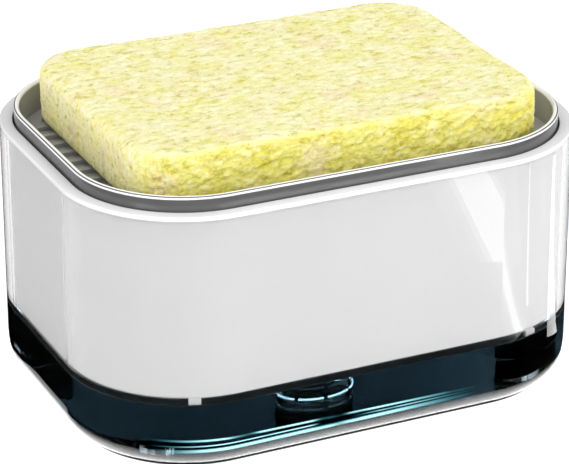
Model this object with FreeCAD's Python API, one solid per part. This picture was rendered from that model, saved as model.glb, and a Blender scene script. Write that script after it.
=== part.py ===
"""Sponge caddy with a press pump: clear tank, white drop-in box, press tray, pump and sponge.

Millimetres. The origin is the middle of the footprint on the counter, Z points up,
X runs along the long side and the front is -Y. Everything is drawn at rest, tray up.
"""
import FreeCAD
import Part
import math
import os

from FreeCAD import Vector

# every cut runs past the faces it opens by this much
overrun = 1.0
# two heights closer than this are one height
height_tol = 0.001

# clear tank
tank_length = 155.0
tank_width = 116.0
tank_corner = 37.0
tank_wall = 2.2
tank_floor = 2.8
tank_base_round = 7.0
tank_inner_round = 4.8
rim_height = 77.0

# anti-slip pads
pad_radius = 6.0
pad_thick = 1.6
pad_proud = 0.6
pad_inset = 24.0
pad_seat_gap = 0.1

# soap
soap_depth = 16.4
soap_pump_gap = 0.5

# white drop-in box
insert_gap = 0.3
insert_wall = 1.3
insert_headroom = 2.4
deck_thick = 2.0
deck_edge_round = 0.8
lip_thick = 1.1
lip_round = 0.5
lip_inner_round = 0.3
tab_width = 3.4
tab_thick = 1.3
tab_drop = 2.0
tab_angle = 70.0
tower_wall = 3.1
tower_height = 15.6
vent_radius = 1.0
vent_offset = 30.0

# press tray
tray_gap = 0.4
tray_wall = 1.6
tray_rise = 4.2
tray_depth = 7.9
tray_floor = 2.0
tray_skirt = 24.0
tray_rim_round = 0.7
rib_height = 1.2
rib_width = 2.2
rib_pitch = 7.0
rib_end_gap = 5.0
hub_wall = 3.4
hub_clear = 2.3
press_travel = 8.0

# sponge
sponge_end_gap = 9.1
sponge_side_gap = 7.2
sponge_thick = 17.0
sponge_corner = 15.0
sponge_edge_round = 2.5
sponge_rest_gap = 0.1

# pump barrel
bore_radius = 9.0
barrel_wall = 1.6
barrel_plate = 2.0
barrel_gap = 0.2
flange_thick = 1.8
inlet_radius = 2.2
gasket_thick = 0.8

# intake strainer
strainer_floor_gap = 0.8
strainer_wall = 1.45
strainer_plate = 1.2
strainer_well = 0.6
strainer_grip = 11.0
slot_count = 8
slot_width = 1.6
slot_inner = 5.0

# collar, bush and wiper
collar_wall = 2.4
collar_skirt = 9.0
collar_top = 2.0
collar_gap = 0.3
collar_grip_count = 24
collar_grip_radius = 0.7
bush_plug = 6.0
bush_flange = 1.6
stem_run_gap = 0.1
wiper_width = 1.4
wiper_thick = 1.4

# piston, stem and ring
piston_gap = 0.15
piston_rest_gap = 0.3
piston_height = 7.0
piston_web = 2.0
ring_wire = 1.0
ring_bore_gap = 0.07
ring_groove_gap = 0.1
stem_radius = 4.5
stem_bore = 2.6
stem_drop = 3.8

# fit of the pieces that are pushed into one another
press_gap = 0.05

# inlet ball and cage
ball_radius = 3.0
ball_seat_gap = 0.15
ball_lift = 1.3
ball_stop_gap = 0.3
ball_side_gap = 1.2
cage_wall = 1.4
cage_base = 1.2
cage_top = 1.2
cage_hole = 1.8
cage_slot_count = 3
cage_slot_width = 2.0

# return spring, drawn in quarter turns
spring_wire = 0.55
spring_side_gap = 1.0
spring_turns = 7
quarters = 4
spring_end_gap = 0.1

# outlet valve and nozzle
valve_plate = 1.2
valve_bill = 3.0
valve_root = 3.0
valve_tip = 1.2
valve_bore_root = 2.2
valve_bore_tip = 0.4
nozzle_wall = 1.1
nozzle_head = 0.9
nozzle_head_over = 2.6
nozzle_holes = 6
nozzle_hole_radius = 0.6
nozzle_hole_ring = 1.9

# heights above the counter that follow from the sizes
floor_top = pad_proud + tank_floor
soap_top = floor_top + soap_depth
deck_under = soap_top + insert_headroom
deck_top = deck_under + deck_thick
tank_top = rim_height - lip_thick
tray_rim = rim_height + tray_rise
rib_top = tray_rim - tray_depth
tray_top = rib_top - rib_height
tray_under = tray_top - tray_floor
skirt_bottom = tray_rim - tray_skirt
stem_top = tray_under - stem_drop
strainer_bottom = floor_top + strainer_floor_gap
strainer_inside = strainer_bottom + strainer_plate
barrel_bottom = strainer_inside + strainer_well
bore_bottom = barrel_bottom + barrel_plate
tower_top = deck_top + tower_height
flange_bottom = tower_top + gasket_thick
barrel_top = flange_bottom + flange_thick
bush_top = barrel_top + bush_flange
collar_high = bush_top + collar_top
hub_bottom = collar_high + press_travel + hub_clear
piston_top = barrel_top - bush_plug - piston_rest_gap
piston_bottom = piston_top - piston_height
socket_bottom = piston_bottom + piston_web

# plan sizes that follow
insert_inset = tank_wall + insert_gap
insert_inside = insert_inset + insert_wall
tray_inset = insert_inside + tray_gap
tray_inside = tray_inset + tray_wall
sponge_length = tank_length - 2 * (tray_inside + sponge_end_gap)
sponge_width = tank_width - 2 * (tray_inside + sponge_side_gap)

# radii round the pump's axis that follow
barrel_radius = bore_radius + barrel_wall
tower_bore = barrel_radius + barrel_gap
tower_radius = tower_bore + tower_wall
strainer_bore = barrel_radius + press_gap
strainer_radius = strainer_bore + strainer_wall
collar_bore = tower_radius + collar_gap
collar_radius = collar_bore + collar_wall
socket_radius = stem_radius + press_gap
stem_run = stem_radius + stem_run_gap
wiper_radius = stem_run + wiper_width
piston_radius = bore_radius - piston_gap
ring_outer = bore_radius - ring_bore_gap
ring_middle = ring_outer - ring_wire
groove_radius = ring_middle - ring_wire - press_gap
cage_bore = ball_radius + ball_side_gap
cage_radius = cage_bore + cage_wall
plug_radius = bore_radius - press_gap
spring_middle = bore_radius - spring_side_gap - spring_wire

# the ball stands on the edge of the inlet, a hair above it
ball_height = bore_bottom + math.sqrt((ball_radius + ball_seat_gap) ** 2 - inlet_radius ** 2)
cage_ceiling = ball_height + ball_radius + ball_lift + ball_stop_gap


def rounded_outline(inset):
    """Half length, half width and corner radius of the tank's outline drawn in by inset."""
    return tank_length / 2 - inset, tank_width / 2 - inset, tank_corner - inset


def rounded_block(half_x, half_y, corner, bottom, top):
    """Upright block with rounded corners in plan."""
    straight_x = half_x - corner
    straight_y = half_y - corner
    edges = []
    for turn in range(4):
        along = straight_x if turn % 2 else straight_y
        reach = half_y if turn % 2 else half_x
        across = straight_y if turn % 2 else straight_x
        start = Vector(reach, -along, bottom)
        end = Vector(reach, along, bottom)
        middle = Vector(across, along, bottom) + Vector(corner, corner, 0).normalize() * corner
        finish = Vector(across, along + corner, bottom)
        spin = FreeCAD.Rotation(Vector(0, 0, 1), math.degrees(turn * math.pi / 2))
        edges.append(Part.makeLine(spin.multVec(start), spin.multVec(end)))
        arc = Part.Arc(spin.multVec(end), spin.multVec(middle), spin.multVec(finish))
        edges.append(arc.toShape())
    return Part.Face(Part.Wire(edges)).extrude(Vector(0, 0, top - bottom))


def inset_block(inset, bottom, top):
    """Block of the tank's own outline drawn in by inset."""
    half_x, half_y, corner = rounded_outline(inset)
    return rounded_block(half_x, half_y, corner, bottom, top)


def flat_at(shape, height):
    """Level face of the shape at this height."""
    for face in shape.Faces:
        box = face.BoundBox
        if abs(box.ZMin - height) < height_tol and abs(box.ZMax - height) < height_tol:
            return face
    raise ValueError("no level face at this height")


def round_outer(shape, height, radius):
    """Round the outer edges of the level face at this height."""
    return shape.makeFillet(radius, flat_at(shape, height).OuterWire.Edges)


def round_inner(shape, height, radius):
    """Round the inner edges of the level face at this height."""
    face = flat_at(shape, height)
    edges = []
    for wire in face.Wires:
        if not wire.isSame(face.OuterWire):
            edges.extend(wire.Edges)
    return shape.makeFillet(radius, edges)


def turned(profile):
    """Solid turned round the Z axis from (radius, height) corners."""
    points = [Vector(radius, 0, height) for radius, height in profile]
    face = Part.Face(Part.makePolygon(points + points[:1]))
    return face.revolve(Vector(0, 0, 0), Vector(0, 0, 1), math.degrees(2 * math.pi))


def post(radius, bottom, top, x=0, y=0):
    """Upright round bar."""
    return Part.makeCylinder(radius, top - bottom, Vector(x, y, bottom))


def tube(outer, inner, bottom, top):
    """Upright tube round the Z axis."""
    return turned([(inner, bottom), (outer, bottom), (outer, top), (inner, top)])


def spun(shape, turn_share):
    """Copy turned round the Z axis by a share of a full turn."""
    copy = shape.copy()
    copy.rotate(Vector(0, 0, 0), Vector(0, 0, 1), math.degrees(2 * math.pi) * turn_share)
    return copy


def four_places(x, y):
    """The four mirrored places of one point."""
    return [(sx * x, sy * y) for sx in (-1, 1) for sy in (-1, 1)]


def tank_cavity(top):
    """Inside of the tank up to a height, its bottom edge rounded."""
    return round_outer(inset_block(tank_wall, floor_top, top), floor_top, tank_inner_round)


def pad_places():
    return four_places(tank_length / 2 - pad_inset, tank_width / 2 - pad_inset)


def make_tank():
    body = round_outer(inset_block(0, pad_proud, tank_top), pad_proud, tank_base_round)
    body = body.cut(tank_cavity(tank_top + overrun))
    seat_top = pad_thick + pad_seat_gap
    for x, y in pad_places():
        body = body.cut(post(pad_radius + pad_seat_gap, pad_proud - overrun, seat_top, x, y))
    return body


def make_pads():
    return Part.makeCompound([post(pad_radius, 0, pad_thick, x, y) for x, y in pad_places()])


def make_soap():
    pocket = post(strainer_radius + soap_pump_gap, floor_top - overrun, soap_top + overrun)
    return tank_cavity(soap_top).cut(pocket)


def tab_block():
    """Locating tab under the deck's edge, drawn on the X axis from the corner's centre."""
    reach = tank_corner - insert_inset - deck_edge_round
    corner = Vector(reach - tab_thick, -tab_width / 2, deck_under - tab_drop)
    return Part.makeBox(tab_thick, tab_width, tab_drop + deck_thick / 2, corner)


def make_insert():
    shell = round_outer(inset_block(insert_inset, deck_under, rim_height), deck_under, deck_edge_round)
    lip = round_outer(inset_block(0, tank_top, rim_height), rim_height, lip_round)
    body = shell.fuse(lip).cut(inset_block(insert_inside, deck_top, rim_height + overrun))
    body = body.fuse(post(tower_radius, deck_under, tower_top))
    body = body.cut(post(tower_bore, deck_under - overrun, tower_top + overrun))
    body = body.cut(post(vent_radius, deck_under - overrun, deck_top + overrun, vent_offset))
    arc_x = tank_length / 2 - tank_corner
    arc_y = tank_width / 2 - tank_corner
    for sx, sy in four_places(1, 1):
        swing = math.degrees(math.atan2(sy * math.sin(math.radians(tab_angle)),
                                        sx * math.cos(math.radians(tab_angle))))
        tab = tab_block()
        tab.rotate(Vector(0, 0, 0), Vector(0, 0, 1), swing)
        tab.translate(Vector(sx * arc_x, sy * arc_y, 0))
        body = body.fuse(tab)
    body = body.removeSplitter()
    return round_inner(body, rim_height, lip_inner_round)


def tray_ribs():
    """Ribs along X that keep the sponge off the tray's floor, clear of the nozzle."""
    half_x, half_y, corner = rounded_outline(tray_inside + rib_end_gap)
    count = int((2 * half_y - rib_width) / rib_pitch)
    first = -count * rib_pitch / 2 - rib_width / 2
    field = rounded_block(half_x, half_y, corner, tray_top - tray_floor / 2, rib_top)
    ribs = []
    for index in range(count + 1):
        start = Vector(-half_x, first + index * rib_pitch, tray_top - tray_floor / 2)
        ribs.append(Part.makeBox(2 * half_x, rib_width, rib_height + tray_floor / 2, start))
    clear = post(socket_radius + nozzle_head_over + rib_height, tray_top, rib_top + overrun)
    return field.common(Part.makeCompound(ribs)).cut(clear)


def make_tray():
    body = round_outer(inset_block(tray_inset, skirt_bottom, tray_rim), tray_rim, tray_rim_round)
    body = body.cut(inset_block(tray_inside, tray_top, tray_rim + overrun))
    body = body.cut(inset_block(tray_inside, skirt_bottom - overrun, tray_under))
    body = round_inner(body, tray_rim, tray_rim_round)
    body = body.fuse(post(socket_radius + hub_wall, hub_bottom, tray_top))
    body = body.fuse(tray_ribs())
    body = body.cut(post(socket_radius, hub_bottom - overrun, tray_rim))
    return body.removeSplitter()


def make_sponge():
    bottom = rib_top + sponge_rest_gap
    top = bottom + sponge_thick
    body = rounded_block(sponge_length / 2, sponge_width / 2, sponge_corner, bottom, top)
    body = round_outer(body, top, sponge_edge_round)
    return round_outer(body, bottom, sponge_edge_round)


def make_barrel():
    return turned([
        (inlet_radius, barrel_bottom), (barrel_radius, barrel_bottom),
        (barrel_radius, flange_bottom), (tower_radius, flange_bottom),
        (tower_radius, barrel_top), (bore_radius, barrel_top),
        (bore_radius, bore_bottom), (inlet_radius, bore_bottom)])


def make_gasket():
    return tube(tower_radius, tower_bore, tower_top, flange_bottom)


def make_strainer():
    rim = barrel_bottom + strainer_grip
    body = turned([
        (0, strainer_bottom), (strainer_radius, strainer_bottom), (strainer_radius, rim),
        (strainer_bore, rim), (strainer_bore, strainer_inside), (0, strainer_inside)])
    corner = Vector(slot_inner, -slot_width / 2, strainer_bottom - overrun)
    slot = Part.makeBox(strainer_radius, slot_width, strainer_plate + strainer_well + overrun, corner)
    for index in range(slot_count):
        body = body.cut(spun(slot, index / slot_count))
    return body


def make_collar():
    skirt_end = tower_top - collar_skirt
    opening = (stem_run + wiper_radius) / 2
    body = turned([
        (collar_bore, skirt_end), (collar_radius, skirt_end), (collar_radius, collar_high),
        (opening, collar_high), (opening, bush_top), (collar_bore, bush_top)])
    groove = post(collar_grip_radius, skirt_end - overrun, collar_high + overrun, collar_radius)
    for index in range(collar_grip_count):
        body = body.cut(spun(groove, index / collar_grip_count))
    return body


def make_bush():
    wiper_seat = bush_top - wiper_thick
    return turned([
        (stem_run, barrel_top - bush_plug), (plug_radius, barrel_top - bush_plug),
        (plug_radius, barrel_top), (tower_radius, barrel_top), (tower_radius, bush_top),
        (wiper_radius, bush_top), (wiper_radius, wiper_seat), (stem_run, wiper_seat)])


def make_wiper():
    return tube(wiper_radius - press_gap, stem_run, bush_top - wiper_thick, bush_top)


def make_stem():
    return tube(stem_radius, stem_bore, socket_bottom, stem_top)


def make_piston():
    groove_low = (piston_bottom + piston_top) / 2 - ring_wire - ring_groove_gap
    groove_high = (piston_bottom + piston_top) / 2 + ring_wire + ring_groove_gap
    return turned([
        (stem_bore, piston_bottom), (piston_radius, piston_bottom), (piston_radius, groove_low),
        (groove_radius, groove_low), (groove_radius, groove_high), (piston_radius, groove_high),
        (piston_radius, piston_top), (socket_radius, piston_top), (socket_radius, socket_bottom),
        (stem_bore, socket_bottom)])


def make_piston_ring():
    return Part.makeTorus(ring_middle, ring_wire, Vector(0, 0, (piston_bottom + piston_top) / 2))


def make_ball():
    return Part.makeSphere(ball_radius, Vector(0, 0, ball_height))


def make_cage():
    base = bore_bottom + cage_base
    top = cage_ceiling + cage_top
    body = turned([
        (cage_bore, bore_bottom), (plug_radius, bore_bottom), (plug_radius, base),
        (cage_radius, base), (cage_radius, top), (cage_hole, top),
        (cage_hole, cage_ceiling), (cage_bore, cage_ceiling)])
    corner = Vector(0, -cage_slot_width / 2, base)
    slot = Part.makeBox(cage_radius + overrun, cage_slot_width, cage_ceiling - base, corner)
    for index in range(cage_slot_count):
        body = body.cut(spun(slot, index / cage_slot_count))
    return body


def helix_point(share):
    """Point and direction of the spring's centre line at a share of its length."""
    low = bore_bottom + cage_base + spring_wire + spring_end_gap
    high = piston_bottom - spring_wire - spring_end_gap
    angle = 2 * math.pi * spring_turns * share
    rise = (high - low) / (2 * math.pi * spring_turns)
    height = low + (high - low) * share
    point = Vector(spring_middle * math.cos(angle), spring_middle * math.sin(angle), height)
    heading = Vector(-spring_middle * math.sin(angle), spring_middle * math.cos(angle), rise)
    return point, heading.normalize()


def tangent_arc(start, knee, end):
    """Arc from start to end whose end tangents meet in knee."""
    chord_middle = (start + end) * 0.5
    reach = (start - knee).Length
    depth = (chord_middle - knee).Length
    half_chord = (end - start).Length / 2
    radius = reach * half_chord / depth
    to_centre = math.sqrt(reach ** 2 + radius ** 2)
    middle = knee + (chord_middle - knee).normalize() * (to_centre - radius)
    return Part.Arc(start, middle, end).toShape()


def biarc(first, second):
    """Two arcs that join two points of the centre line and keep both directions."""
    start, leaving = first
    end, arriving = second
    span = end - start
    bend = 2 * (1 - leaving.dot(arriving))
    along = span.dot(leaving + arriving)
    reach = (math.sqrt(along ** 2 + bend * span.dot(span)) - along) / bend
    knee_a = start + leaving * reach
    knee_b = end - arriving * reach
    joint = (knee_a + knee_b) * 0.5
    return [tangent_arc(start, knee_a, joint), tangent_arc(joint, knee_b, end)]


def make_spring():
    steps = quarters * spring_turns
    stations = [helix_point(index / steps) for index in range(steps + 1)]
    edges = []
    for first, second in zip(stations, stations[1:]):
        edges.extend(biarc(first, second))
    start, heading = stations[0]
    ring = Part.Wire([Part.Circle(start, heading, spring_wire).toShape()])
    gaps = []
    for index in range(steps + 1 - quarters):
        for other in range(index + quarters, steps + 1):
            gaps.append((stations[index][0] - stations[other][0]).Length - 2 * spring_wire)
    print("return_spring least gap to itself", round(min(gaps), 3))
    return Part.Wire(edges).makePipeShell([ring], True, False)


def make_valve():
    plate_top = stem_top + valve_plate
    tip = plate_top + valve_bill
    return turned([
        (valve_bore_root, stem_top), (stem_radius, stem_top), (stem_radius, plate_top),
        (valve_root, plate_top), (valve_tip, tip), (valve_bore_tip, tip)])


def make_nozzle():
    under_head = tray_top
    top = under_head + nozzle_head
    bottom = stem_top + valve_plate
    body = turned([
        (stem_radius - nozzle_wall, bottom), (stem_radius, bottom), (stem_radius, under_head),
        (socket_radius + nozzle_head_over, under_head), (socket_radius + nozzle_head_over, top),
        (0, top), (0, under_head), (stem_radius - nozzle_wall, under_head)])
    hole = post(nozzle_hole_radius, under_head - overrun, top + overrun, nozzle_hole_ring)
    for index in range(nozzle_holes):
        body = body.cut(spun(hole, index / nozzle_holes))
    return body


MAKERS = {
    "clear_tank": make_tank,
    "foot_pads": make_pads,
    "soap_fill": make_soap,
    "insert_box": make_insert,
    "press_tray": make_tray,
    "sponge": make_sponge,
    "pump_cylinder": make_barrel,
    "pump_gasket": make_gasket,
    "intake_strainer": make_strainer,
    "pump_collar": make_collar,
    "stem_bush": make_bush,
    "stem_wiper": make_wiper,
    "pump_stem": make_stem,
    "piston": make_piston,
    "piston_ring": make_piston_ring,
    "inlet_ball": make_ball,
    "ball_cage": make_cage,
    "return_spring": make_spring,
    "outlet_valve": make_valve,
    "outlet_nozzle": make_nozzle,
}

os.makedirs("parts", exist_ok=True)
for node, maker in MAKERS.items():
    shape = maker()
    print(node, len(shape.Solids), "solid(s), valid", shape.isValid(), "volume", round(shape.Volume, 1))
    shape.exportStep("parts/" + node + ".step")
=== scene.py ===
import math

import bmesh
import bpy
import numpy as np
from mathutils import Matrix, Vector, noise


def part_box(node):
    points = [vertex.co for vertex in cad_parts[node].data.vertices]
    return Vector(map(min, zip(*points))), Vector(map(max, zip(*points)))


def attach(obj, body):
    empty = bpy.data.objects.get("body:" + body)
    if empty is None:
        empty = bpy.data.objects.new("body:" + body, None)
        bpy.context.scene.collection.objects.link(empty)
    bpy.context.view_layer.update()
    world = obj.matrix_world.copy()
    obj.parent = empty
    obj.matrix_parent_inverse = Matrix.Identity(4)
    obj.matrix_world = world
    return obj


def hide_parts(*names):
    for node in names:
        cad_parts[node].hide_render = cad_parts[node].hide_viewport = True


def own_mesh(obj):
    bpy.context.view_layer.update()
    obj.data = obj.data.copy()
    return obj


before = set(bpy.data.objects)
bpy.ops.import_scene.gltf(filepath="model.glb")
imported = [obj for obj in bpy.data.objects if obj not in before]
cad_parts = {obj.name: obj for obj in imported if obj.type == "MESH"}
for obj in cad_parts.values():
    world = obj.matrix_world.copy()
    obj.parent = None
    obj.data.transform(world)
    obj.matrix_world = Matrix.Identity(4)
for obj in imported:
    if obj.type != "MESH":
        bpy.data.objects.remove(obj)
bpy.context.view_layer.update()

# Sizes are in metres here, but for those whose names end in _MM. The finishes work in millimetres.
MM = 0.001
TANK_CORNER = 37.0 * MM
TANK_INNER_ROUND = 4.8 * MM
TRAY_WALL_MM = 1.6
RIM_GROOVE_MM = 0.3
SPONGE_CORNER = 15.0 * MM
SPONGE_EDGE = 2.6 * MM
SPONGE_SKIN = 0.45 * MM
SPONGE_SLANT = math.radians(25)
PORE_SEED = 7
FILM_RISE_MM = 2.4
LOWER_STREAK_MM = 3.0
MIDDLE_STREAK_MM = 4.3
UPPER_STREAK_MM = 5.5
PLASTIC_IOR = 1.49
SOAP_IOR = 1.36
UNBENT_IOR = 1.001
FLOOR_MARGIN = 6.0 * MM
FLOOR_REACH = 6.0


class Value:
    """A number on a shader socket. Sums on it add Math nodes."""

    def __init__(self, finish, socket):
        self.finish = finish
        self.socket = socket

    def sum(self, operation, first, second=0.0):
        return self.finish.node("ShaderNodeMath", {"operation": operation}, {0: first, 1: second})[0]

    def __add__(self, other):
        return self.sum("ADD", self, other)

    def __radd__(self, other):
        return self.sum("ADD", other, self)

    def __sub__(self, other):
        return self.sum("SUBTRACT", self, other)

    def __rsub__(self, other):
        return self.sum("SUBTRACT", other, self)

    def __mul__(self, other):
        return self.sum("MULTIPLY", self, other)

    def __rmul__(self, other):
        return self.sum("MULTIPLY", other, self)

    def __pow__(self, other):
        return self.sum("POWER", self, other)

    def __abs__(self):
        return self.sum("ABSOLUTE", self)

    def at_least(self, floor):
        return self.sum("MAXIMUM", self, floor)

    def at_most(self, ceiling):
        return self.sum("MINIMUM", self, ceiling)


class Outputs:
    """The outputs of a node, as values."""

    def __init__(self, finish, made):
        self.finish = finish
        self.made = made

    def __getitem__(self, key):
        return Value(self.finish, self.made.outputs[key])


class Finish:
    """One material while it is made."""

    def __init__(self, name):
        self.material = bpy.data.materials.new(name)
        self.material.use_nodes = True
        self.tree = self.material.node_tree
        self.tree.nodes.clear()
        self.place = self.node("ShaderNodeTexCoord")["Object"]

    def node(self, kind, settings=None, inputs=None):
        """Adds a node: its settings first, then the values or links of its sockets."""
        made = self.tree.nodes.new(kind)
        for key, value in (settings or {}).items():
            if key == "stops":
                ramp = made.color_ramp
                while len(ramp.elements) < len(value):
                    ramp.elements.new(1.0)
                for element, (position, colour) in zip(ramp.elements, value):
                    element.position = position
                    element.color = colour
            else:
                setattr(made, key, value)
        for key, value in (inputs or {}).items():
            if isinstance(value, Value):
                self.tree.links.new(value.socket, made.inputs[key])
            else:
                made.inputs[key].default_value = value
        return Outputs(self, made)

    def mapped(self, stretch, turn):
        return self.node("ShaderNodeMapping", None, {
            "Vector": self.place, "Scale": stretch, "Rotation": turn})["Vector"]

    def noise(self, size_mm, stretch=(1, 1, 1), detail=2.0, roughness=0.5, turn=(0, 0, 0)):
        """Cloudy values about 0.5 with features of this size."""
        return self.node("ShaderNodeTexNoise", None, {
            "Vector": self.mapped(stretch, turn), "Scale": 1 / (size_mm * MM),
            "Detail": detail, "Roughness": roughness})["Fac"]

    def ramp(self, value, *stops):
        return self.node("ShaderNodeValToRGB", {"stops": stops}, {"Fac": value})["Color"]

    def between(self, value, low, high, to_low=0.0, to_high=1.0):
        """Maps low..high to to_low..to_high with soft ends."""
        return self.node("ShaderNodeMapRange", {"interpolation_type": "SMOOTHSTEP"}, {
            "Value": value, "From Min": low, "From Max": high,
            "To Min": to_low, "To Max": to_high})["Result"]

    def mix(self, share, first, second):
        """Colour between two colours."""
        return self.node("ShaderNodeMix", {"data_type": "RGBA"}, {
            "Factor": share, 6: first, 7: second})[2]

    def spot(self):
        """Place on the object in millimetres, along X, Y and Z."""
        parts = self.node("ShaderNodeSeparateXYZ", None, {"Vector": self.place})
        return [parts[axis] * (1 / MM) for axis in "XYZ"]

    def inside_outline(self, half_x, half_y, corner):
        """Distance in millimetres inwards from a rounded outline, sizes in metres."""
        x, y, z = self.spot()
        over_x = abs(x) - (half_x - corner) / MM
        over_y = abs(y) - (half_y - corner) / MM
        beyond = over_x.at_least(0.0) ** 2 + over_y.at_least(0.0) ** 2
        within = over_x.sum("MAXIMUM", over_x, over_y).at_most(0.0)
        return corner / MM - beyond ** 0.5 - within

    def bump(self, value, depth_mm, strength=1.0):
        return self.node("ShaderNodeBump", None, {
            "Height": value, "Distance": depth_mm * MM, "Strength": strength})["Normal"]

    def shader(self, inputs):
        return self.node("ShaderNodeBsdfPrincipled", None, inputs)["BSDF"]

    def ended(self, shader, volume=None):
        """Ends the material in a surface, and in what fills the piece."""
        ends = {"Surface": shader}
        if volume is not None:
            ends["Volume"] = volume
        self.node("ShaderNodeOutputMaterial", None, ends)
        return self.material

    def surface(self, inputs):
        """Ends the material in one Principled surface."""
        return self.ended(self.shader(inputs))


def rgb(red, green, blue):
    return (red, green, blue, 1.0)


def grey(level):
    return (level, level, level, 1.0)


def half_sizes(node):
    """Half length and half width of a node that sits about the Z axis."""
    low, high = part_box(node)
    return (high[0] - low[0]) / 2, (high[1] - low[1]) / 2


def drawn_in_corner(half_x):
    """Corner radius of the tank's outline drawn in to this half length."""
    return TANK_CORNER - (half_sizes("clear_tank")[0] - half_x)


def clear_plastic():
    """Clear wall. Where soap wets it inside, light bends only as it does from plastic to soap.

    Streaks of painted glow, an emission on the wetted inside, run along the front near the soap's floor."""
    f = Finish("clear_moulded_plastic")
    flow = f.noise(18, (1, 1, 0.35), 3.0)
    look = {
        "Base Color": f.mix(flow, grey(0.98), grey(0.995)),
        "Roughness": f.between(flow, 0.3, 0.8, 0.0, 0.03),
        "Normal": f.bump(f.noise(9, (1, 1, 0.3)), 0.01, 0.12),
        "Transmission Weight": 1.0}
    half_x, half_y = half_sizes("clear_tank")
    soap_bottom, soap_top = (corner[2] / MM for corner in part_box("soap_fill"))
    tank_wall = (half_x - half_sizes("soap_fill")[0]) / MM
    film_top = soap_top + FILM_RISE_MM
    x, y, height = f.spot()
    inwards = f.inside_outline(half_x, half_y, TANK_CORNER)
    blend_from, blend_to = 0.3, 0.2
    on_inside = f.between(inwards, tank_wall - blend_from, tank_wall - blend_to)
    under_film = f.between(height, film_top, film_top + blend_to, 1.0, 0.0)
    above_base = f.between(height, soap_bottom - blend_from, soap_bottom - blend_to)
    wetted = on_inside * under_film * above_base
    # Painted glow: the streaks are emission on the wetted inside of the front wall, broken into dashes by
    # this noise. They are not light traced through the soap.
    streak_breakup = f.noise(14, (0.35, 0.35, 2.0), 3.0, 0.6)
    above_floor = height - soap_bottom
    lower_slope, middle_slope, upper_slope = 0.006, 0.002, 0.008
    lower = abs(above_floor - LOWER_STREAK_MM - x * lower_slope)
    upper = abs(above_floor - UPPER_STREAK_MM + x * upper_slope)
    middle = abs(above_floor - MIDDLE_STREAK_MM - x * middle_slope)
    broad, thin, fine = (0.25, 0.75), (0.08, 0.30), (0.15, 0.45)
    broad_line = f.between(lower, *broad, 1.0, 0.0) * f.between(streak_breakup, 0.36, 0.50)
    thin_line = f.between(middle, *thin, 1.0, 0.0) * f.between(streak_breakup, 0.44, 0.56)
    fine_line = f.between(upper, *fine, 1.0, 0.0) * f.between(streak_breakup, 0.42, 0.54)
    left_end, right_end, front = (-64, -46), (0, 36), (-48, -40)
    run = f.between(x, *left_end) * f.between(x, *right_end, 1.0, 0.0)
    along_front = run * f.between(y, *front, 1.0, 0.0)
    streaks = (broad_line + thin_line + fine_line) * along_front
    streak_colour = f.mix(streaks, rgb(0.06, 0.52, 0.65), rgb(0.58, 0.95, 1.0))
    dry = f.shader({**look, "IOR": PLASTIC_IOR})
    # The wet inside carries the streaks' painted glow as emission.
    wet = f.shader({
        **look, "IOR": PLASTIC_IOR / SOAP_IOR, "Specular Tint": grey(0.0),
        "Emission Color": f.mix(streaks, grey(0.0), streak_colour), "Emission Strength": 1.4})
    return f.ended(f.node("ShaderNodeMixShader", None, {0: wetted, 1: dry, 2: wet})[0])


def liquid_soap(name, bending):
    """Dark soap, whose surface bends light as this index says."""
    f = Finish(name)
    drift = f.noise(30, (1, 1, 1), 2.0)
    shader = f.shader({
        "Base Color": f.mix(drift, rgb(0.90, 0.97, 0.98), rgb(0.94, 0.99, 1.0)),
        "Roughness": f.between(drift, 0.3, 0.7, 0.0, 0.02),
        "IOR": bending, "Transmission Weight": 1.0})
    volume = f.node("ShaderNodeVolumeAbsorption", None, {
        "Color": rgb(0.45, 0.54, 0.585), "Density": 75.0})["Volume"]
    return f.ended(shader, volume)


def white_gloss():
    f = Finish("white_gloss_plastic")
    cloud = f.noise(26, (1, 1, 0.25), 3.0)
    peel = f.noise(0.9, (1, 1, 1), 2.0)
    return f.surface({
        "Base Color": f.mix(cloud, grey(0.80), grey(0.84)),
        "Roughness": f.between(cloud, 0.25, 0.75, 0.12, 0.22),
        "Normal": f.bump(peel, 0.006, 0.2),
        "Coat Weight": 0.35, "Coat Roughness": 0.06})


def silver_tray():
    """Grey gloss tray of one plastic, with painted light and shade: a dark grey skirt as painted shade and
    dark reflection, a paler inside as painted light, a near white band at the top of the rim as a painted
    highlight, and a fine dark line round the rim as painted shade over a bumped groove.
    """
    f = Finish("silver_grey_gloss")
    height = f.spot()[2]
    half_x, half_y = half_sizes("press_tray")
    rim_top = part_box("press_tray")[1][2] / MM
    # Painted highlight: a band at the top of the rim is painted near white.
    rim_foot, rim_shoulder = rim_top - 0.95, rim_top - 0.6
    rim = f.between(height, rim_foot, rim_shoulder)
    inwards = f.inside_outline(half_x, half_y, drawn_in_corner(half_x))
    # Painted shade: a fine dark line is painted along the rim, over a real bumped groove.
    groove_half = (0.10, 0.22)
    groove = f.between(abs(inwards - RIM_GROOVE_MM), *groove_half, 1.0, 0.0) * rim
    inner_edge = (TRAY_WALL_MM - 0.4, TRAY_WALL_MM - 0.1)
    inside = f.between(inwards, *inner_edge)
    cloud = f.noise(14, (1, 1, 1), 3.0)
    scuff = f.noise(1.4, (0.25, 1, 1), 3.0)
    # Painted light and shade on one plastic: the skirt is painted dark, as shade and dark reflection, and
    # the inside paler, as if better lit.
    skirt = f.mix(cloud, grey(0.085), grey(0.105))
    painted_light_inside = f.mix(cloud, grey(0.38), grey(0.44))
    bright = f.mix(rim, f.mix(inside, skirt, painted_light_inside), grey(0.95))
    return f.surface({
        "Base Color": f.mix(groove, bright, grey(0.12)),
        "Roughness": f.between(scuff, 0.3, 0.75, 0.16, 0.26),
        "Normal": f.bump(scuff * 0.05 - groove, 0.12, 0.5),
        "Coat Weight": 0.2, "Coat Roughness": 0.05})


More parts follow.
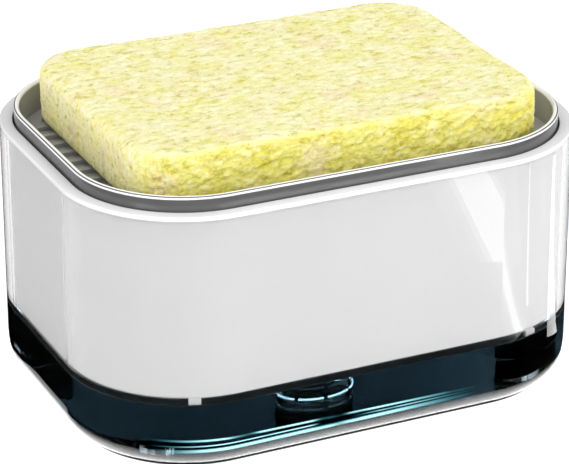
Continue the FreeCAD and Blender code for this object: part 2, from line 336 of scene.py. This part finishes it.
def cellulose():
    """Pale cellulose: crumbly grain, deeper yellow on the long sides, painted shade down in the pores and in
    the grain's hollows, painted light on the grain's crests, and both ends painted paler as if better lit.
    """
    f = Finish("yellow_cellulose")
    slant = (0, SPONGE_SLANT, 0)
    pit = f.node("ShaderNodeAttribute", {"attribute_name": "pit"})["Fac"]
    cut = f.node("ShaderNodeAttribute", {"attribute_name": "cut"})["Fac"]
    butt = f.node("ShaderNodeAttribute", {"attribute_name": "butt"})["Fac"]
    tint = f.noise(9, (1, 1, 1), 3.0)
    blush = f.noise(13, (1, 1, 1), 2.0)
    crumb = f.noise(2.2, (0.6, 1, 1), 6.0, 0.8)
    fibre = f.noise(1.6, (0.4, 1, 1), 6.0, 0.8, slant)
    grain = fibre * cut + crumb * (1 - cut)
    top = f.ramp(tint, (0.35, rgb(0.84, 0.80, 0.30)), (0.62, rgb(0.90, 0.86, 0.52)))
    # Painted light: both ends get a paler, brighter yellow than the top, as if better lit.
    end = f.ramp(tint, (0.3, rgb(0.96, 0.88, 0.34)), (0.7, rgb(0.97, 0.92, 0.52)))
    side = f.ramp(tint, (0.3, rgb(0.76, 0.69, 0.11)), (0.6, rgb(0.81, 0.75, 0.20)))
    skin = f.mix(cut, f.mix(butt, top, end), side)
    flushed = f.mix(f.between(blush, 0.52, 0.68, 0.0, 0.6), skin, rgb(0.87, 0.72, 0.45))
    # Painted shade: the deeper a pore, the darker and deeper its yellow.
    deep = f.mix(f.between(pit, 0.15, 0.9), flushed, rgb(0.74, 0.62, 0.03))
    # Painted shade in the grain's hollows, darker still on the long sides.
    hollow = f.mix(cut, rgb(0.56, 0.50, 0.08), rgb(0.44, 0.37, 0.03))
    shaded = f.mix(f.between(grain, 0.34, 0.49, 0.9, 0.0), deep, hollow)
    # Painted light: the grain's crests are paler, as if lit.
    crest = f.mix(cut, rgb(0.95, 0.92, 0.70), rgb(0.93, 0.89, 0.50))
    colour = f.mix(f.between(grain, 0.50, 0.64, 0.0, 0.85), shaded, crest)
    return f.surface({
        "Base Color": colour,
        "Roughness": f.between(grain, 0.2, 0.8, 0.8, 0.98),
        "Normal": f.bump(grain, 1.1, 0.8),
        "Specular IOR Level": 0.1, "Sheen Weight": 0.05, "Sheen Roughness": 0.5})


def natural_plastic(name, low, high):
    f = Finish(name)
    cloud = f.noise(6, (1, 1, 0.4), 3.0)
    grain = f.noise(0.5, (1, 1, 1), 2.0)
    return f.surface({
        "Base Color": f.mix(cloud, low, high),
        "Roughness": f.between(grain, 0.2, 0.8, 0.35, 0.5),
        "Normal": f.bump(grain, 0.01, 0.3)})


def misty_plastic():
    """Nearly clear plastic of the pump's foot, with a painted glow, a cyan emission, along its lower outer
    edge.
    """
    f = Finish("misty_strainer_plastic")
    cloud = f.noise(6, (1, 1, 0.4), 3.0)
    grain = f.noise(0.5, (1, 1, 1), 2.0)
    radius, foot = half_sizes("intake_strainer")[0] / MM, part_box("intake_strainer")[0][2] / MM
    x, y, height = f.spot()
    from_axis = (x ** 2 + y ** 2) ** 0.5
    # Painted glow: a thin band at the lower outer edge of the foot is drawn as emission.
    edge_height, edge_width = (foot + 0.35, foot + 0.6), (radius - 0.55, radius - 0.35)
    low = f.between(height, *edge_height, 1.0, 0.0)
    edge = f.between(from_axis, *edge_width) * low
    return f.surface({
        "Base Color": f.mix(cloud, rgb(0.86, 0.93, 0.95), rgb(0.92, 0.97, 0.98)),
        "Roughness": f.between(grain, 0.2, 0.8, 0.05, 0.12),
        "Normal": f.bump(grain, 0.01, 0.3),
        "Transmission Weight": 0.9, "IOR": PLASTIC_IOR / SOAP_IOR,
        "Emission Color": f.mix(edge, grey(0.0), rgb(0.75, 0.95, 1.0)), "Emission Strength": 5.0})


def soft_rubber(name, low, high):
    f = Finish(name)
    cloud = f.noise(3, (1, 1, 1), 3.0)
    grain = f.noise(0.3, (1, 1, 1), 2.0)
    return f.surface({
        "Base Color": f.mix(cloud, low, high),
        "Roughness": f.between(grain, 0.2, 0.8, 0.6, 0.8),
        "Normal": f.bump(grain, 0.02, 0.4)})


def drawn_steel():
    f = Finish("drawn_stainless_steel")
    lines = f.noise(0.25, (1, 1, 0.1), 3.0)
    return f.surface({
        "Base Color": f.mix(lines, rgb(0.55, 0.56, 0.57), rgb(0.68, 0.69, 0.70)),
        "Metallic": 1.0,
        "Roughness": f.between(lines, 0.2, 0.8, 0.18, 0.34)})


def rounded_ring(half_x, half_y, corner, height, steps):
    """Points round a rounded rectangle at a height."""
    points = []
    for turn, (sx, sy) in enumerate(((1, 1), (-1, 1), (-1, -1), (1, -1))):
        for step in range(steps + 1):
            angle = (turn + step / steps) * math.pi / 2
            points.append((sx * (half_x - corner) + corner * math.cos(angle),
                           sy * (half_y - corner) + corner * math.sin(angle), height))
    return points


def loft(name, rings):
    """Closed mesh through rings of equal count, capped at both ends."""
    mesh = bpy.data.meshes.new(name)
    bm = bmesh.new()
    rows = [[bm.verts.new(p) for p in ring] for ring in rings]
    for low, high in zip(rows, rows[1:]):
        count = len(low)
        for index in range(count):
            after = (index + 1) % count
            bm.faces.new((low[index], low[after], high[after], high[index]))
    bm.faces.new(list(reversed(rows[0])))
    bm.faces.new(rows[-1])
    for face in bm.faces:
        face.smooth = True
    bm.to_mesh(mesh)
    bm.free()
    piece = bpy.data.objects.new(name, mesh)
    bpy.context.scene.collection.objects.link(piece)
    return piece


def remeshed(piece, voxel):
    """Fills the piece with an even skin of small faces."""
    modifier = piece.modifiers.new("skin", "REMESH")
    modifier.mode = "VOXEL"
    modifier.voxel_size = voxel
    modifier.use_smooth_shade = True
    done = bpy.data.meshes.new_from_object(piece.evaluated_get(bpy.context.evaluated_depsgraph_get()))
    piece.modifiers.clear()
    piece.data = done


def chance(point):
    """A number from 0 to 1 that is fixed by a place: what is left of a steep wave."""
    wave = math.sin(point.x * 12.9898 + point.y * 78.233 + point.z * 37.719) * 43758.5453
    return wave - math.floor(wave)


def pore_depth(point, cut):
    """Depth in mm of the sponge's pores at a point in mm; cut is 0 on top and 1 on the long sides."""
    long_stretch = 0.5
    small_warp, small_shift = 1.7, 0.75
    large_warp, large_shift = 4.5, 0.9
    loose = point + noise.noise_vector(point / small_warp) * small_shift
    loose += noise.noise_vector(point / large_warp) * large_shift
    along = (loose.x * math.cos(SPONGE_SLANT) + loose.z * math.sin(SPONGE_SLANT)) * long_stretch
    across = loose.z * math.cos(SPONGE_SLANT) - loose.x * math.sin(SPONGE_SLANT)
    place = Vector((along, loose.y, across))
    # Each kind of pore: spacing, reach as a share of it, and depth.
    fine = (1.4, 0.40 + 0.16 * cut, 0.25 + 0.30 * cut)
    middle = (2.6, 0.20 + 0.20 * cut, 0.40 + 0.50 * cut)
    large = (6.5, 0.13 + 0.11 * cut, 1.2 + 0.6 * cut)
    depth = 0.0
    for spacing, reach, deepest in (fine, middle, large):
        gaps, middles = noise.voronoi(place / spacing)
        size = chance(middles[0])
        radius = reach * (0.25 + 0.9 * size)
        if gaps[0] < radius:
            bowl = math.sqrt(1 - (gaps[0] / radius) ** 2)
            depth = max(depth, deepest * (0.35 + 0.65 * size) * bowl)
    crumb_size, crumb_height = 1.5, 0.24 + 0.30 * cut
    return depth + crumb_height * noise.fractal(place / crumb_size, 0.7, 2.0, 3)


def make_sponge():
    """Block with rounded edges, then its pores and crumbs, and marks of where the long sides, the ends and
    the pits are.
    """
    low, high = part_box("sponge")
    half_x, half_y = half_sizes("sponge")
    edge_steps, corner_steps = 6, 8
    quarter = [step / edge_steps * math.pi / 2 for step in range(edge_steps + 1)]
    levels = [(angle, low[2] + SPONGE_EDGE * (1 - math.cos(angle))) for angle in quarter]
    levels += [(angle, high[2] - SPONGE_EDGE * (1 - math.cos(angle))) for angle in reversed(quarter)]
    rings = []
    for angle, height in levels:
        inset = SPONGE_EDGE * (1 - math.sin(angle))
        corner = SPONGE_CORNER - inset
        rings.append(rounded_ring(half_x - inset, half_y - inset, corner, height, corner_steps))
    piece = loft("cellulose_sponge", rings)
    remeshed(piece, SPONGE_SKIN)
    mesh = piece.data
    count = len(mesh.vertices)
    normals = np.empty(count * 3)
    mesh.vertex_normals.foreach_get("vector", normals)
    normals = normals.reshape(-1, 3)
    spots = np.empty(count * 3)
    mesh.vertices.foreach_get("co", spots)
    spots = spots.reshape(-1, 3)
    long_side_from, long_side_span = 0.35, 0.5
    long_sides = np.clip((np.abs(normals[:, 1]) - long_side_from) / long_side_span, 0, 1)
    noise.seed_set(PORE_SEED)
    depths = np.array([pore_depth(Vector(spot) / MM, cut) for spot, cut in zip(spots, long_sides)])
    swell_size, flat_foot = 24 * MM, 3 * MM
    swell = np.array([noise.noise(Vector(spot) / swell_size) for spot in spots])
    off_rest = np.clip((spots[:, 2] - low[2]) / flat_foot, 0, 1)
    fullness, swell_height = 0.25, 0.4
    lift = (fullness + swell_height * swell - depths) * off_rest
    spots += normals * (lift * MM)[:, None]
    mesh.vertices.foreach_set("co", spots.ravel())
    full_depth = 1.5
    pits, butts = np.clip(depths / full_depth, 0, 1), np.abs(normals[:, 0])
    for name, values in (("pit", pits), ("cut", long_sides), ("butt", butts)):
        mesh.attributes.new(name, "FLOAT", "POINT").data.foreach_set("value", values)
    mesh.update()
    return piece


def make_soap():
    """Soap up to its level, with the little rise where it wets the wall."""
    low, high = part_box("soap_fill")
    bite = 0.06 * MM
    half_x, half_y = (half + bite for half in half_sizes("soap_fill"))
    corner = drawn_in_corner(half_x)
    bottom = low[2] - bite
    round_steps, climb_steps, corner_steps = 8, 6, 16
    rings = []
    for step in range(round_steps + 1):
        angle = step / round_steps * math.pi / 2
        inset = TANK_INNER_ROUND * (1 - math.sin(angle))
        height = bottom + TANK_INNER_ROUND * (1 - math.cos(angle))
        rings.append(rounded_ring(half_x - inset, half_y - inset, corner - inset, height, corner_steps))
    climb, reach = 0.5 * MM, 1.8 * MM
    for step in range(climb_steps + 1):
        inset = reach * step / climb_steps
        height = high[2] + climb * (1 - step / climb_steps) ** 2
        rings.append(rounded_ring(half_x - inset, half_y - inset, corner - inset, height, corner_steps))
    return loft("soap_pool", rings)


def make_ball():
    """The check ball, as an even skin of triangles."""
    low, high = (Vector(corner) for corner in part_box("inlet_ball"))
    mesh = bpy.data.meshes.new("steel_ball")
    bm = bmesh.new()
    bmesh.ops.create_icosphere(bm, subdivisions=4, radius=(high.z - low.z) / 2)
    bmesh.ops.translate(bm, verts=bm.verts, vec=(0, 0, (low.z + high.z) / 2))
    for face in bm.faces:
        face.smooth = True
    bm.to_mesh(mesh)
    bm.free()
    piece = bpy.data.objects.new("steel_ball", mesh)
    bpy.context.scene.collection.objects.link(piece)
    return piece


def make_spring():
    """A copy of the return spring, as an object of its own."""
    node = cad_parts["return_spring"]
    piece = bpy.data.objects.new("coil_spring", node.data.copy())
    piece.matrix_world = node.matrix_world
    bpy.context.scene.collection.objects.link(piece)
    return piece


def dress(finishes):
    """Gives each carried-over node its finish."""
    for node, material in finishes.items():
        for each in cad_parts[node].material_slots:
            each.material = material


def add_lamp(name, place, size, power):
    """Flat lamp, seen in the object but not by the camera."""
    data = bpy.data.lights.new(name, "AREA")
    data.shape = "RECTANGLE"
    data.size, data.size_y = size
    data.energy = power
    lamp = bpy.data.objects.new(name, data)
    lamp.location = place
    lamp.visible_camera = False
    bpy.context.scene.collection.objects.link(lamp)
    return lamp


def add_softbox(name, place, aim, size, power):
    lamp = add_lamp(name, place, size, power)
    lamp.rotation_mode = "QUATERNION"
    lamp.rotation_quaternion = (Vector(aim) - Vector(place)).to_track_quat("-Z", "Y")


def add_floor_strip(name, near, far, width, glow):
    """Thin bright strip on the floor that only the gloss shows. Its ends and width are in millimetres."""
    off_floor = 0.3
    near, far = Vector((*near, off_floor)) * MM, Vector((*far, off_floor)) * MM
    run = far - near
    width *= MM
    lamp = add_lamp(name, (near + far) / 2, (width, run.length), glow * math.pi * width * run.length)
    lamp.rotation_euler = (math.pi, 0, math.atan2(-run.x, run.y))
    lamp.visible_diffuse = False
    lamp.visible_transmission = False


def add_camera():
    """Camera at the photo's angle and distance."""
    azimuth, elevation = math.radians(-25.03), math.radians(23.97)
    distance = 825.4 * MM
    image_width, focal_pixels = 569, 2809.5
    back = Vector((math.sin(azimuth) * math.cos(elevation), -math.cos(azimuth) * math.cos(elevation),
                   math.sin(elevation)))
    right = Vector((math.cos(azimuth), math.sin(azimuth), 0))
    aim_sideways, aim_height = -0.23 * MM, 40.5 * MM
    aim = right * aim_sideways + Vector((0, 0, aim_height))
    data = bpy.data.cameras.new("camera")
    data.sensor_width = 36.0
    data.lens = focal_pixels / image_width * data.sensor_width
    data.clip_start = 0.01
    camera = bpy.data.objects.new("camera", data)
    camera.location = aim + back * distance
    camera.rotation_mode = "QUATERNION"
    camera.rotation_quaternion = (-back).to_track_quat("-Z", "Y")
    bpy.context.scene.collection.objects.link(camera)
    bpy.context.scene.camera = camera


def painted_glow_floor():
    """Pale floor with a painted glow: weak and even far out, much brighter in a band round the object's
    foot, and painted shade, dark with no glow, under the object.
    """
    f = Finish("pale_floor")
    cloud = f.noise(120, (1, 1, 1), 2.0)
    inwards = f.inside_outline(*half_sizes("clear_tank"), TANK_CORNER)
    # Painted pool of light: the glow rises from weak far out to far brighter round the foot.
    near_foot = f.between(inwards, -FLOOR_MARGIN / MM, 0.0)
    shade_start, shade_full = 3.5, 5.5
    # Painted shade: under the object the floor turns dark and stops glowing.
    under = f.between(inwards, shade_start, shade_full)
    glow = f.mix(near_foot, grey(0.42), grey(3.2))
    return f.surface({
        "Base Color": f.mix(under, f.mix(cloud, grey(0.81), grey(0.83)), grey(0.05)),
        "Roughness": f.between(cloud, 0.3, 0.7, 0.55, 0.65), "Specular IOR Level": 0.1,
        "Emission Color": f.mix(under, glow, grey(0.0)), "Emission Strength": 1.0})


def add_floor():
    """Floor in two flush parts: the near one shows in the gloss of the foot, the far one in no gloss."""
    half_x, half_y = half_sizes("clear_tank")
    corner, corner_steps = TANK_CORNER + FLOOR_MARGIN, 12
    near = rounded_ring(half_x + FLOOR_MARGIN, half_y + FLOOR_MARGIN, corner, 0, corner_steps)
    count = len(near)
    reach = FLOOR_REACH / half_x
    far = [(x * reach, y * reach, z) for x, y, z in near]
    around = [(i, i + count, (i + 1) % count + count, (i + 1) % count) for i in range(count)]
    finish = painted_glow_floor()
    for name, points, faces in (("floor_near", near, [range(count)]), ("floor_far", near + far, around)):
        mesh = bpy.data.meshes.new(name)
        mesh.from_pydata(points, [], faces)
        mesh.materials.append(finish)
        floor = bpy.data.objects.new(name, mesh)
        floor.visible_glossy = name == "floor_near"
        bpy.context.scene.collection.objects.link(floor)


def add_studio():
    """Even white light all round, three softboxes, and strips that draw the highlights."""
    world = bpy.data.worlds.new("studio")
    world.use_nodes = True
    world.node_tree.nodes["Background"].inputs["Color"].default_value = grey(1.0)
    world.node_tree.nodes["Background"].inputs["Strength"].default_value = 0.8
    world.cycles_visibility.glossy = False
    bpy.context.scene.world = world
    middle = (0, 0, 0.04)
    add_softbox("overhead", (0.1, 0.1, 1.2), middle, (1.4, 1.0), 3.5)
    add_softbox("front_right", (0.5, -1.2, 0.6), middle, (0.7, 0.5), 9)
    add_softbox("front_left", (-1.1, -0.6, 0.6), middle, (0.5, 0.5), 5)
    far_widening = 5
    for width, glow in ((8, 4.0), (12, 2.0), (16, 1.0), (20, 0.6), (26, 0.4)):
        add_floor_strip("front_corner_far", (95, -146), (122, -232), width + far_widening, glow)
        add_floor_strip("front_corner_near", (83, -86), (96, -146), width, glow)
    add_floor_strip("front_corner_haze", (110, -130), (156, -218), 24, 0.5)
    add_floor_strip("wide_corner_haze", (110, -130), (156, -218), 36, 0.5)
    add_floor_strip("thin_strip", (105, -90), (200, -160), 4, 3.5)
    add_floor_strip("right_strip", (95, -45), (240, -54), 16, 3.5)
    bpy.context.scene.view_settings.view_transform = "Standard"


add_camera()
add_floor()
add_studio()

white = white_gloss()
silver = silver_tray()
natural = natural_plastic("natural_pump_plastic", rgb(0.70, 0.72, 0.73), rgb(0.80, 0.81, 0.81))
misty = misty_plastic()
silicone = soft_rubber("milky_silicone", rgb(0.62, 0.63, 0.63), rgb(0.72, 0.73, 0.73))
pad_rubber = soft_rubber("black_pad_rubber", grey(0.012), grey(0.025))
steel = drawn_steel()
dress({
    "clear_tank": clear_plastic(), "foot_pads": pad_rubber, "insert_box": white, "press_tray": silver,
    "pump_cylinder": natural, "pump_gasket": silicone, "intake_strainer": misty, "pump_collar": white,
    "stem_bush": natural, "stem_wiper": silicone, "pump_stem": natural, "piston": natural,
    "piston_ring": silicone, "ball_cage": natural,
    "outlet_valve": silicone, "outlet_nozzle": silver})

sponge = make_sponge()
sponge.data.materials.append(cellulose())
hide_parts("sponge")
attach(sponge, "sponge")

soap = make_soap()
soap.data.materials.append(liquid_soap("blue_green_soap_level", SOAP_IOR))
soap.data.materials.append(liquid_soap("blue_green_soap", UNBENT_IOR))
level, sides = 0, 1
for face in soap.data.polygons:
    face.material_index = level if face.normal.z > 0.5 else sides
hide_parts("soap_fill")
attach(soap, "tank")

ball = make_ball()
ball.data.materials.append(steel)
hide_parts("inlet_ball")
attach(ball, "ball")

spring = make_spring()
spring.data.materials.clear()
spring.data.materials.append(steel)
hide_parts("return_spring")
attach(spring, "insert")
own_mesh(spring)
